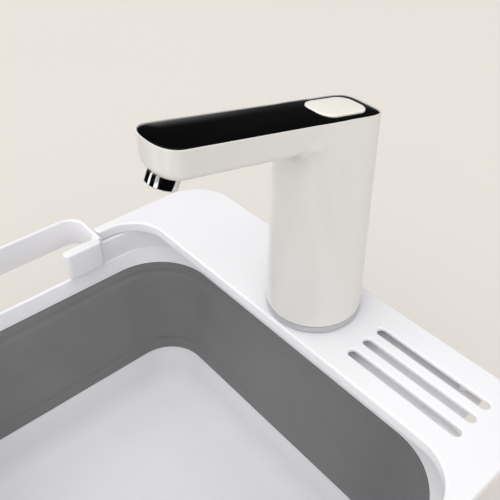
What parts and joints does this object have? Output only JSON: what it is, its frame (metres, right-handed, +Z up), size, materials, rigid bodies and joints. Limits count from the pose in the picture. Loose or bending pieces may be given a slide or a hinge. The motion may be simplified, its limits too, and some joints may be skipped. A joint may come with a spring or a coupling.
{
  "type": "portable handwash sink",
  "caption": "Collapsible wash basin with soft folding walls, carrying handles and a rechargeable swivelling pump tap on its rear deck.",
  "frame": {"origin": "on the ground under the middle of the outer box", "axes": "+X along the rear deck, from the side without slots to the side with them; +Y from the basin towards the deck; +Z up"},
  "size_m": [0.392, 0.3382, 0.3552],
  "materials": {
    "white_pp": "satin white polypropylene",
    "grey_tpe": "matte grey thermoplastic rubber",
    "shell_white": "satin warm white ABS",
    "black_gloss": "piano black",
    "ivory_plastic": "ivory satin",
    "chrome": "bright plated",
    "chrome_drain": "polished drain fitting",
    "steel_mesh": "fine steel screen",
    "steel_can": "drawn steel",
    "zinc_screw": "zinc plated",
    "silver_trim": "translucent silver grey",
    "smoke_plastic": "smoke grey lens",
    "black_rubber": "matte",
    "black_plastic": "moulded",
    "circuit_board": "solder mask",
    "battery_wrap": "shrink sleeve",
    "clear_tube": "milky silicone",
    "white_nut": "moulded"
  },
  "bodies": {
    "base": {"base_tub": "white_pp", "collapsible_wall": "grey_tpe", "foot_1": "black_rubber", "foot_2": "black_rubber", "foot_3": "black_rubber", "foot_4": "black_rubber", "drain_flange": "chrome_drain", "drain_gasket": "black_rubber", "drain_nut": "white_nut"},
    "stopper": {"drain_stopper": "grey_tpe"},
    "rim": {"rim_frame": "white_pp", "handle_left": "white_pp", "handle_right": "white_pp", "deck_plate": "white_pp", "deck_tray": "white_pp", "base_trim_ring": "silver_trim", "base_gasket": "black_rubber", "swivel_base": "white_pp", "swivel_clip": "zinc_screw", "base_screw_1": "zinc_screw", "base_screw_2": "zinc_screw", "base_screw_3": "zinc_screw", "base_screw_4": "zinc_screw", "tray_screw_1": "zinc_screw", "tray_screw_2": "zinc_screw", "tray_screw_3": "zinc_screw", "tray_screw_4": "zinc_screw"},
    "tap": {"faucet_shell": "shell_white", "top_cover": "black_gloss", "button_switch": "black_plastic", "control_board": "circuit_board", "aerator_housing": "chrome", "aerator_screen": "steel_mesh", "aerator_washer": "black_rubber", "nozzle_adapter": "white_pp", "sensor_window": "smoke_plastic", "shell_base": "white_pp", "pump_housing": "black_plastic", "pump_lid": "black_plastic", "pump_motor": "steel_can", "battery_cell": "battery_wrap", "battery_holder": "black_plastic", "outlet_tube": "clear_tube", "charge_socket": "steel_can"},
    "button": {"push_button": "ivory_plastic"},
    "pump_rotor": {"impeller": "white_nut"},
    "flap": {"charge_flap": "grey_tpe"}
  },
  "joints": [
    {"name": "basin_collapse", "type": "slide", "parent": "base", "child": "rim", "axis": [0, 0, -1], "range_m": [0, 0.072], "deforming": ["collapsible_wall"]},
    {"name": "stopper_lift", "type": "slide", "parent": "base", "child": "stopper", "axis": [0, 0, 1], "range_m": [0, 0.03]},
    {"name": "faucet_swivel", "type": "hinge", "parent": "rim", "child": "tap", "pos_m": [0.0073, 0.13155, 0.1865], "axis": [0, 0, 1], "range_deg": [-87.3, 92.7]},
    {"name": "button_press", "type": "slide", "parent": "tap", "child": "button", "axis": [-0.0084, -0.1789, -0.9838], "range_m": [0, 0.0012], "stiffness_N_per_m": 900, "springref_m": -0.0006},
    {"name": "impeller_spin", "type": "hinge", "parent": "tap", "child": "pump_rotor", "pos_m": [0.00692, 0.12356, 0.1865], "axis": [0, 0, 1], "continuous": true},
    {"name": "charge_flap_hinge", "type": "hinge", "parent": "tap", "child": "flap", "pos_m": [0.00887, 0.16481, 0.2743], "axis": [-0.9989, 0.0471, 0], "range_deg": [0, 105]}
  ]
}
